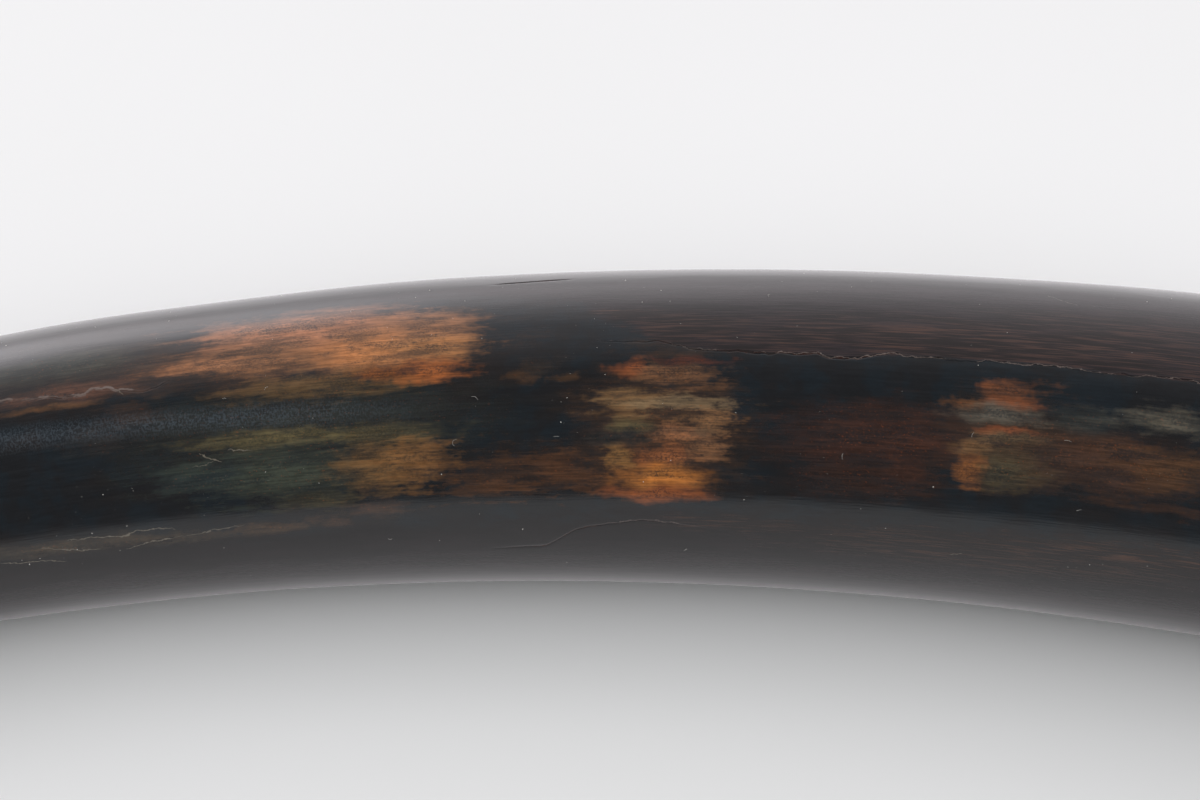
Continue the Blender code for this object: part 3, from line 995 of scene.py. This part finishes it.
def sawn_material(settings, groups):
    """The sawn butt: cream ivory in rings inside a thin dark bark."""
    material, nodes, shader = new_material("sawn_ivory")
    straight = nodes.read("straight", "Vector")
    _, y, z = nodes.split(straight)
    radius = nodes.vector("LENGTH", nodes.join(0.0, y, z))
    wobble = nodes.times(nodes.minus(nodes.noise(straight, 70.0, 3.0), 0.5), 0.0024)
    rings = nodes.noise(nodes.join(nodes.plus(radius, wobble), 0.0, 0.0), 900.0, 3.0, 0.7)
    color = nodes.blend(nodes.range(rings, 0.35, 0.65), srgb(150, 118, 80), srgb(196, 170, 128))

    # The fine lattice of crossing curves that sawn tusks show
    turns = nodes.times(nodes.math("ARCTAN2", z, y), LATTICE_TURNS)
    swirl = nodes.times(radius, LATTICE_SWIRL)
    first = nodes.math("SINE", nodes.plus(turns, swirl))
    second = nodes.math("SINE", nodes.minus(turns, swirl))
    lattice = nodes.range(nodes.times(first, second), -0.6, 0.8, 0.0, 0.16)
    color = nodes.blend(lattice, color, srgb(214, 196, 158))

    rays = nodes.noise(nodes.join(y, z, 0.0), 60.0, 4.0, 0.65)
    color = nodes.blend(nodes.range(rays, 0.5, 0.72, 0.0, 0.6), color, srgb(112, 74, 44))
    rim = nodes.minus(nodes.plus(radius, nodes.times(nodes.minus(rays, 0.5), 0.004)), BUTT_RADIUS)
    color = nodes.blend(nodes.range(rim, -0.0052, -0.0034), color, srgb(86, 56, 38))
    color = nodes.blend(nodes.range(rim, -0.0030, -0.0022), color, settings.bark_dark)
    crack = nodes.range(nodes.math("ABSOLUTE", nodes.read("from_crack")), 0.0016, 0.0004)
    color = nodes.blend(nodes.times(crack, 0.85), color, srgb(60, 36, 26))
    cut = nodes.join(z, y, 0.0)
    saw = nodes.place(groups["grain"], Straight=cut, Stretch=0.02, Scale=1300.0, Contrast=2.0).outputs[0]
    rough = nodes.range(saw, 0.0, 1.0, 0.42, 0.6, steps=False)
    height = nodes.plus(nodes.times(saw, 0.7), nodes.times(rings, 0.3))
    finish_surface(nodes, shader, color, rough, height, 0.00008)
    return material


def hollow_material(groups):
    """The wall of the pulp hollow: dull brown with crusts."""
    material, nodes, shader = new_material("pulp_hollow")
    straight = nodes.read("straight", "Vector")
    lines = nodes.place(
        groups["grain"], Straight=straight, Stretch=0.12, Scale=500.0, Contrast=2.0).outputs[0]
    crust = nodes.noise(straight, 160.0, 5.0, 0.65)
    color = nodes.blend(lines, srgb(74, 52, 38), srgb(128, 98, 68))
    color = nodes.blend(nodes.range(crust, 0.5, 0.66), color, srgb(52, 40, 34))
    rough = nodes.range(crust, 0.3, 0.7, 0.6, 0.85, steps=False)
    height = nodes.plus(nodes.times(crust, 0.8), nodes.times(lines, 0.2))
    finish_surface(nodes, shader, color, rough, height, 0.0004)
    return material


def dust_material():
    material, nodes, shader = new_material("pale_dust")
    place = nodes.add("ShaderNodeTexCoord").outputs["Object"]
    tone = nodes.noise(place, 900.0, 1.0)
    nodes.set(shader.inputs["Base Color"], nodes.blend(tone, srgb(160, 158, 150), srgb(236, 234, 228)))
    shader.inputs["Roughness"].default_value = 0.85
    return material


# Geometry node trees
def curl_tree(materials):
    """Lays the straight tusk along its centre line and gives its skin a slight relief."""
    tree, nodes, given, out = new_geometry_tree("curl along centre line", [
        ("Centre Line", "NodeSocketObject", None), ("Broad Relief", FLOAT, 0.0001),
        ("Fine Relief", FLOAT, 0.00003), ("Hollow Relief", FLOAT, 0.0004),
    ])
    position = nodes.add("GeometryNodeInputPosition").outputs[0]
    x, y, z = nodes.split(position)
    stored = nodes.add(
        "GeometryNodeStoreNamedAttribute",
        {"Geometry": given["Geometry"], "Name": "straight", "Value": position},
        data_type="FLOAT_VECTOR", domain="POINT",
    )

    def waves(place, scale, detail, roughness, height):
        """Ups and downs of a noise, from minus to plus this height."""
        return nodes.times(nodes.minus(nodes.noise(place, scale, detail, roughness), 0.5), height, 2.0)

    broad = waves(nodes.join(nodes.times(x, 0.3), y, z), 75.0, 2.0, 0.5, given["Broad Relief"])
    fine = waves(nodes.join(nodes.times(x, 0.16), y, z), 420.0, 2.0, 0.55, given["Fine Relief"])
    crusts = waves(position, 150.0, 4.0, 0.6, given["Hollow Relief"])
    raised = nodes.times(nodes.plus(broad, fine), nodes.named("skin_share"))
    raised = nodes.plus(raised, nodes.times(crusts, nodes.named("hollow_share")))
    outward = nodes.vector("NORMALIZE", nodes.join(0.0, y, z))
    shaped = nodes.vector("ADD", position, nodes.vector("SCALE", outward, scale=raised))
    along, side, up = nodes.split(shaped)

    line = nodes.geometry_of(given["Centre Line"])
    sample = nodes.add("GeometryNodeSampleCurve", {"Curves": line}, mode="LENGTH", use_all_curves=True)
    nodes.set(sample.inputs["Length"], along)
    across = nodes.vector("CROSS_PRODUCT", (0.0, 0.0, 1.0), sample.outputs["Tangent"])
    across = nodes.vector("NORMALIZE", across)
    place = nodes.vector("ADD", sample.outputs["Position"], nodes.vector("SCALE", across, scale=side))
    place = nodes.vector("ADD", place, nodes.join(0.0, 0.0, nodes.plus(up, nodes.named("rest_height"))))
    moved = nodes.add("GeometryNodeSetPosition", {"Geometry": stored.outputs[0], "Position": place})
    made = nodes.add("GeometryNodeRealizeInstances", {"Geometry": moved.outputs[0]}).outputs[0]
    zone = nodes.named("zone", "INT")
    for index, material in enumerate(materials):
        here = nodes.add("FunctionNodeCompare", data_type="INT", operation="EQUAL")
        nodes.set(here.inputs[2], zone)
        nodes.set(here.inputs[3], index)
        inputs = {"Geometry": made, "Selection": here.outputs[0], "Material": material}
        made = nodes.add("GeometryNodeSetMaterial", inputs).outputs[0]
    nodes.set(out["Geometry"], made)
    return tree


def dust_tree(material):
    """Specks of dust strewn over a surface."""
    tree, nodes, given, out = new_geometry_tree("strewn dust", [
        ("Surface", "NodeSocketObject", None), ("Density", FLOAT, 2000.0), ("Heaping", FLOAT, 30.0),
        ("Smallest", FLOAT, 0.0001), ("Largest", FLOAT, 0.0003), ("Seed", "NodeSocketInt", 1),
    ])

    # More dust on what faces up, and more still in some places
    _, _, up = nodes.split(nodes.add("GeometryNodeInputNormal").outputs[0])
    is_skin = nodes.math("LESS_THAN", nodes.named("zone", "INT"), 0.5)
    on_top = nodes.times(nodes.range(up, -0.3, 0.4), is_skin)
    place = nodes.add("GeometryNodeInputPosition").outputs[0]
    heaped = nodes.range(nodes.noise(place, given["Heaping"], 2.0), 0.56, 0.70, 0.5, 5.0)
    points = nodes.add("GeometryNodeDistributePointsOnFaces", {
        "Mesh": nodes.geometry_of(given["Surface"]), "Seed": given["Seed"],
        "Density": nodes.times(given["Density"], heaped, on_top),
    }, distribute_method="RANDOM")

    # A lumpy speck, flattened, turned at random, mostly small
    speck = nodes.add("GeometryNodeMeshIcoSphere", {"Radius": 1.0, "Subdivisions": 1}).outputs["Mesh"]
    lumpy = nodes.math("MULTIPLY_ADD", nodes.noise(place, 1.3, 1.0), 0.9, 0.55)
    lumps = nodes.vector("SCALE", place, scale=lumpy)
    speck = nodes.add("GeometryNodeSetPosition", {"Geometry": speck, "Position": lumps}).outputs[0]
    size = nodes.add("FunctionNodeRandomValue", {2: 0.0, 3: 1.0, "Seed": 3}, data_type="FLOAT")
    radius = nodes.between(nodes.math("POWER", size.outputs[1], 3.0), given["Smallest"], given["Largest"])
    turned = nodes.add("FunctionNodeRandomValue", data_type="FLOAT_VECTOR")
    nodes.set(turned.inputs[0], (0.0, 0.0, 0.0))
    nodes.set(turned.inputs[1], (6.28, 6.28, 6.28))
    grown = nodes.vector("MULTIPLY", nodes.join(radius, radius, radius), SPECK_SHAPE)
    placed = nodes.add("GeometryNodeInstanceOnPoints", {
        "Points": points.outputs["Points"], "Instance": speck, "Rotation": turned.outputs[0],
        "Scale": grown,
    })
    finish_tree(nodes, out, placed.outputs[0], material)
    return tree


def lint_tree(material):
    """Gives every fibre's line a round body."""
    tree, nodes, given, out = new_geometry_tree("lint fibres", [("Radius", FLOAT, 0.00004)])
    profile = nodes.add("GeometryNodeCurvePrimitiveCircle", {"Resolution": 5, "Radius": given["Radius"]})
    body = nodes.add("GeometryNodeCurveToMesh", {
        "Curve": given["Geometry"], "Profile Curve": profile.outputs["Curve"], "Fill Caps": True,
    })
    finish_tree(nodes, out, body.outputs["Mesh"], material)
    return tree


def build_lint_lines(radius):
    """A line just over the skin for every fibre in LINT."""
    steps = np.linspace(0.0, 1.0, 13)
    curve = bpy.data.curves.new("lint_lines", "CURVE")
    curve.dimensions = "3D"
    for along, angle, length, turn, bend in LINT:
        headings = math.radians(turn) + bend * (steps - 0.5)
        here = along + 0.001 * length * (np.cumsum(np.cos(headings)) / steps.size - 0.5)
        base = skin_radius(here, math.radians(angle))
        angles = math.radians(angle) + 0.001 * length * np.cumsum(np.sin(headings)) / steps.size / base
        arch = 0.00025 * np.sin(math.pi * steps) ** 2
        height = skin_radius(here, angles) + BARK_STEP + 1.6 * radius + arch
        spline = curve.splines.new("POLY")
        spline.points.add(steps.size - 1)
        for point, place in zip(spline.points, curled(here, angles, height)):
            point.co = (*place, 1.0)
    return add_object("lint_lines", curve)


def run_tree(carrier, tree, values):
    """The plain mesh that a node tree makes of this object. Values are set by the sockets' identifiers."""
    modifier = carrier.modifiers.new("nodes", "NODES")
    modifier.node_group = tree
    for item in tree.interface.items_tree:
        if item.item_type == "SOCKET" and item.in_out == "INPUT" and item.name in values:
            modifier[item.identifier] = values[item.name]
    bpy.context.view_layer.update()
    evaluated = carrier.evaluated_get(bpy.context.evaluated_depsgraph_get())
    made = bpy.data.meshes.new_from_object(evaluated)
    carrier.modifiers.remove(modifier)
    if not made.polygons:
        raise RuntimeError(carrier.name + ": its nodes made no faces")
    return made


def remove_object(thing):
    bpy.data.objects.remove(thing, do_unlink=True)


# Light and camera
def unit(azimuth, elevation):
    """Direction from the object, seen from the camera: azimuth 0 is away from it, 90 to its right."""
    turn = math.radians(azimuth)
    rise = math.radians(elevation)
    return Vector((math.sin(turn) * math.cos(rise), math.cos(turn) * math.cos(rise), math.sin(rise)))


def add_panel(name, place, strength):
    """A soft rectangular light that shines on the middle of the view."""
    light = bpy.data.lights.new(name, "AREA")
    light.shape = "RECTANGLE"
    light.size, light.size_y = PANEL_SIZE
    light.energy = strength
    made = add_object(name, light)
    made.location = place
    made.rotation_mode = "QUATERNION"
    made.rotation_quaternion = (AIM - place).to_track_quat("-Z", "Y")
    made.visible_camera = False
    return made


def studio_world(settings):
    """Light from all round, brightest low down behind the tusk and there to its left."""
    world = bpy.data.worlds.new("studio")
    world.use_nodes = True
    nodes = Nodes(world.node_tree)
    background = world.node_tree.nodes["Background"]

    def facing(azimuth, elevation):
        """How squarely a direction faces a place on the sky, given from the camera's point of view."""
        aim = unit(azimuth, elevation)
        aim.rotate(Euler((0.0, 0.0, settings.azimuth)))
        return nodes.vector("DOT_PRODUCT", direction, tuple(aim))

    direction = nodes.add("ShaderNodeTexCoord").outputs["Generated"]
    low = nodes.math("POWER", nodes.minus(1.0, nodes.split(direction)[2], clamp=True), 0.4)
    left = nodes.math("POWER", nodes.math("MAXIMUM", facing(-23.0, 17.0), 0.0), 24.0)
    glow = nodes.math("MULTIPLY_ADD", left, settings.left_glow, settings.back_glow)
    glow = nodes.times(glow, low, nodes.range(facing(0.0, 0.0), -0.1, 0.4))
    nodes.set(background.inputs["Color"], settings.sky_color)
    nodes.set(background.inputs["Strength"], nodes.plus(glow, settings.sky_strength))
    return world


def floor_material(settings):
    material, nodes, shader = new_material("pale_floor")
    place = nodes.add("ShaderNodeTexCoord").outputs["Object"]
    tone = nodes.noise(place, 9.0, 0.0)
    nodes.set(shader.inputs["Base Color"], nodes.blend(tone, settings.floor_color, FLOOR_OTHER_TONE))
    shader.inputs["Roughness"].default_value = 0.6
    return material


# The add-on
class TuskBodySettings(bpy.types.PropertyGroup):
    fine_step: bpy.props.FloatProperty(
        name="Fine step", description="Distance between rings where the surface is seen best",
        default=0.00105, min=0.0005, unit="LENGTH")
    coarse_step: bpy.props.FloatProperty(
        name="Coarse step", description="Distance between rings elsewhere",
        default=0.0072, unit="LENGTH")
    fine_start: bpy.props.FloatProperty(
        name="Fine from", description="Where the fine rings begin, from the butt",
        default=0.485, unit="LENGTH")
    fine_end: bpy.props.FloatProperty(
        name="Fine to", description="Where the fine rings end, from the butt",
        default=0.805, unit="LENGTH")
    broad_relief: bpy.props.FloatProperty(
        name="Broad relief", description="Height of the broad waves of the skin",
        default=0.00010, unit="LENGTH")
    fine_relief: bpy.props.FloatProperty(
        name="Fine relief", description="Height of the fine ripples of the skin",
        default=0.000028, unit="LENGTH")
    hollow_relief: bpy.props.FloatProperty(
        name="Hollow relief", description="Height of the crusts in the pulp hollow",
        default=0.0007, unit="LENGTH")


class TuskColorSettings(bpy.types.PropertyGroup):
    band_color: bpy.props.FloatVectorProperty(
        name="Band", description="Polished band, its darkest tone", subtype="COLOR", size=4,
        default=(0.0068, 0.0080, 0.0095, 1.0))
    band_blue: bpy.props.FloatVectorProperty(
        name="Band blue", description="Polished band, its blue tone", subtype="COLOR", size=4,
        default=(0.0058, 0.0102, 0.0138, 1.0))
    band_brown: bpy.props.FloatVectorProperty(
        name="Band brown", description="Polished band, its brown tone", subtype="COLOR", size=4,
        default=(0.0145, 0.0095, 0.0075, 1.0))
    bark_color: bpy.props.FloatVectorProperty(
        name="Bark", description="Bark, its lighter lines", subtype="COLOR", size=4,
        default=(0.0140, 0.0094, 0.0115, 1.0))
    bark_dark: bpy.props.FloatVectorProperty(
        name="Bark dark", description="Bark, its darker lines", subtype="COLOR", size=4,
        default=(0.0042, 0.0033, 0.0038, 1.0))
    bark_rust: bpy.props.FloatVectorProperty(
        name="Bark rust", description="Rusty streaks in the bark", subtype="COLOR", size=4,
        default=(0.110, 0.048, 0.026, 1.0))
    lip_color: bpy.props.FloatVectorProperty(
        name="Crack lips", description="Pale edges of the cracks", subtype="COLOR", size=4,
        default=(0.15, 0.118, 0.105, 1.0))
    thread_color: bpy.props.FloatVectorProperty(
        name="Hairlines", description="Pale hairlines", subtype="COLOR", size=4,
        default=(0.13, 0.115, 0.09, 1.0))
    gap_color: bpy.props.FloatVectorProperty(
        name="Crack gaps", description="Inside of the cracks", subtype="COLOR", size=4,
        default=(0.025, 0.008, 0.005, 1.0))
    stain_gain: bpy.props.FloatProperty(
        name="Stain strength", description="Brightness of the stains", default=0.82, min=0.0)
    band_roughness: bpy.props.FloatProperty(
        name="Band roughness", description="Roughness of the polished band",
        default=0.17, min=0.0, max=1.0, subtype="FACTOR")
    bark_roughness: bpy.props.FloatProperty(
        name="Bark roughness", description="Roughness of the bark",
        default=0.21, min=0.0, max=1.0, subtype="FACTOR")
    haze: bpy.props.FloatProperty(
        name="Haze", description="Pale haze of the surface where it is seen at a slant",
        default=0.31, min=0.0, max=1.0, subtype="FACTOR")
    haze_color: bpy.props.FloatVectorProperty(
        name="Haze tint", description="Tone of the pale haze", subtype="COLOR", size=4,
        default=(1.0, 0.95, 0.985, 1.0))
    bump_height: bpy.props.FloatProperty(
        name="Bump", description="Height of the grain's bump", default=0.000018, unit="LENGTH")


class TuskDustSettings(bpy.types.PropertyGroup):
    density: bpy.props.FloatProperty(
        name="Dust density", description="Specks on a square metre", default=13000.0, min=0.0)
    heaping: bpy.props.FloatProperty(
        name="Heaping", description="How closely the places with more dust follow each other, to the metre",
        default=34.0, min=0.0)
    smallest: bpy.props.FloatProperty(
        name="Smallest speck", description="Radius of the smallest speck",
        default=0.00004, unit="LENGTH")
    largest: bpy.props.FloatProperty(
        name="Largest speck", description="Radius of the largest speck", default=0.00018, unit="LENGTH")
    seed: bpy.props.IntProperty(
        name="Seed", description="Another number strews the dust anew", default=7)
    lint_radius: bpy.props.FloatProperty(
        name="Lint thickness", description="Radius of a fibre of lint", default=0.000022, unit="LENGTH")


class TuskStageSettings(bpy.types.PropertyGroup):
    floor_color: bpy.props.FloatVectorProperty(
        name="Floor", description="Colour of the floor", subtype="COLOR", size=4,
        default=(0.80, 0.81, 0.81, 1.0))
    floor_size: bpy.props.FloatProperty(
        name="Floor size", description="Width of the floor", default=14.0, unit="LENGTH")
    sky_color: bpy.props.FloatVectorProperty(
        name="Sky", description="Colour of the light from all round", subtype="COLOR", size=4,
        default=(1.0, 0.955, 0.98, 1.0))
    sky_strength: bpy.props.FloatProperty(
        name="Surroundings", description="Light from all round", default=0.15, min=0.0)
    back_glow: bpy.props.FloatProperty(
        name="Glow behind", description="Light from low down behind", default=0.95, min=0.0)
    left_glow: bpy.props.FloatProperty(
        name="Glow at the left", description="More light from behind on the left", default=2.9, min=0.0)
    side_strength: bpy.props.FloatProperty(
        name="Side panels", description="Power of each panel at the sides", default=76.0, unit="POWER")
    lens: bpy.props.FloatProperty(
        name="Lens", description="Focal length in millimetres", default=85.0, min=1.0)
    azimuth: bpy.props.FloatProperty(
        name="Camera azimuth", description="Direction in which the camera looks",
        default=math.radians(36.0), subtype="ANGLE")


class TUSK_OT_build_body(bpy.types.Operator):
    """Build the tusk itself, curled along its centre line"""

    bl_idname = "tusk.build_body"
    bl_label = "Tusk"

    def execute(self, context):
        body = context.scene.tusk_body
        colors = context.scene.tusk_colors
        groups = {"grain": grain_group(), "stain": stain_group(), "hairline": hairline_group()}
        materials = [skin_material(colors, groups), sawn_material(colors, groups), hollow_material(groups)]
        line = build_centre_line()
        straight = add_object("straight_tusk", build_straight_tusk(body))
        values = {
            "Centre Line": line, "Broad Relief": body.broad_relief, "Fine Relief": body.fine_relief,
            "Hollow Relief": body.hollow_relief,
        }
        data = run_tree(straight, curl_tree(materials), values)
        data.name = "tusk_ivory"
        data.shade_smooth()
        data.set_sharp_from_angle(angle=SHARP_EDGE)
        remove_object(straight)
        remove_object(line)
        tusk = add_object("tusk_ivory", data)
        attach(tusk, "root")
        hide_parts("tusk")
        return {"FINISHED"}


class TUSK_OT_strew_dust(bpy.types.Operator):
    """Strew specks of dust over the tusk"""

    bl_idname = "tusk.strew_dust"
    bl_label = "Dust"

    def execute(self, context):
        given = context.scene.tusk_dust
        surface = bpy.data.objects.get("tusk_ivory")
        if surface is None:
            raise RuntimeError("the tusk comes before its dust")
        carrier = add_object("dust_carrier", bpy.data.meshes.new("dust_carrier"))
        values = {
            "Surface": surface, "Density": given.density, "Heaping": given.heaping,
            "Smallest": given.smallest, "Largest": given.largest, "Seed": given.seed,
        }
        data = run_tree(carrier, dust_tree(dust_material()), values)
        remove_object(carrier)
        dust = add_object("tusk_dust", data)
        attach(dust, "root")
        return {"FINISHED"}


class TUSK_OT_lay_lint(bpy.types.Operator):
    """Lay a few fibres of lint on the tusk"""

    bl_idname = "tusk.lay_lint"
    bl_label = "Lint"

    def execute(self, context):
        given = context.scene.tusk_dust
        lines = build_lint_lines(given.lint_radius)
        data = run_tree(lines, lint_tree(dust_material()), {"Radius": given.lint_radius})
        remove_object(lines)
        lint = add_object("tusk_lint", data)
        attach(lint, "root")
        return {"FINISHED"}


class TUSK_OT_build_stage(bpy.types.Operator):
    """Build the floor, the lights and the camera"""

    bl_idname = "tusk.build_stage"
    bl_label = "Stage"

    def execute(self, context):
        scene = context.scene
        given = scene.tusk_stage
        half = 0.5 * given.floor_size
        corners = [(-half, -half, 0.0), (half, -half, 0.0), (half, half, 0.0), (-half, half, 0.0)]
        data = bpy.data.meshes.new("floor")
        data.from_pydata(corners, [], [(0, 1, 2, 3)])
        data.materials.append(floor_material(given))
        floor = add_object("floor", data)
        scene.world = studio_world(given)

        def around(x, y, z):
            """A place given from the camera's point of view: right, away and up."""
            cosine, sine = math.cos(given.azimuth), math.sin(given.azimuth)
            return AIM + Vector((cosine * x - sine * y, sine * x + cosine * y, z))

        panels = [add_panel(name, around(*place), given.side_strength) for name, place in PANELS]
        camera = bpy.data.cameras.new("camera")
        camera.lens = given.lens
        camera.sensor_width = SENSOR_WIDTH
        camera.clip_start = 0.02
        camera.clip_end = 60.0
        eye = add_object("camera", camera)
        eye.location = CAMERA_PLACE
        eye.rotation_mode = "QUATERNION"
        eye.rotation_quaternion = (AIM - CAMERA_PLACE).to_track_quat("-Z", "Y")
        scene.camera = eye
        scene.view_settings.view_transform = "Standard"
        return {"FINISHED"}


class TUSK_PT_panel(bpy.types.Panel):
    """Tools that build the tusk and its stage"""

    bl_label = "Mammoth Tusk"
    bl_idname = "TUSK_PT_panel"
    bl_space_type = "VIEW_3D"
    bl_region_type = "UI"
    bl_category = "Tusk"

    def draw(self, context):
        layout = self.layout
        for kind in OPERATORS:
            layout.operator(kind.bl_idname)
        for name, _, _ in SETTINGS:
            box = layout.box()
            group = getattr(context.scene, name)
            for key in group.__annotations__:
                box.prop(group, key)


OPERATORS = (TUSK_OT_build_body, TUSK_OT_strew_dust, TUSK_OT_lay_lint, TUSK_OT_build_stage)
SETTINGS = (
    ("tusk_body", TuskBodySettings, "Shape of the tusk"),
    ("tusk_colors", TuskColorSettings, "Colours of the tusk"),
    ("tusk_dust", TuskDustSettings, "Dust on the tusk"),
    ("tusk_stage", TuskStageSettings, "Floor, lights and camera"),
)


def register():
    for name, kind, words in SETTINGS:
        bpy.utils.register_class(kind)
        setattr(bpy.types.Scene, name, bpy.props.PointerProperty(type=kind, description=words))
    for kind in (*OPERATORS, TUSK_PT_panel):
        bpy.utils.register_class(kind)


def unregister():
    for kind in (TUSK_PT_panel, *reversed(OPERATORS)):
        bpy.utils.unregister_class(kind)
    for name, kind, _ in reversed(SETTINGS):
        delattr(bpy.types.Scene, name)
        bpy.utils.unregister_class(kind)


def main():
    register()
    bpy.ops.tusk.build_body()
    bpy.ops.tusk.strew_dust()
    bpy.ops.tusk.lay_lint()
    bpy.ops.tusk.build_stage()


if __name__ == "__main__":
    main()
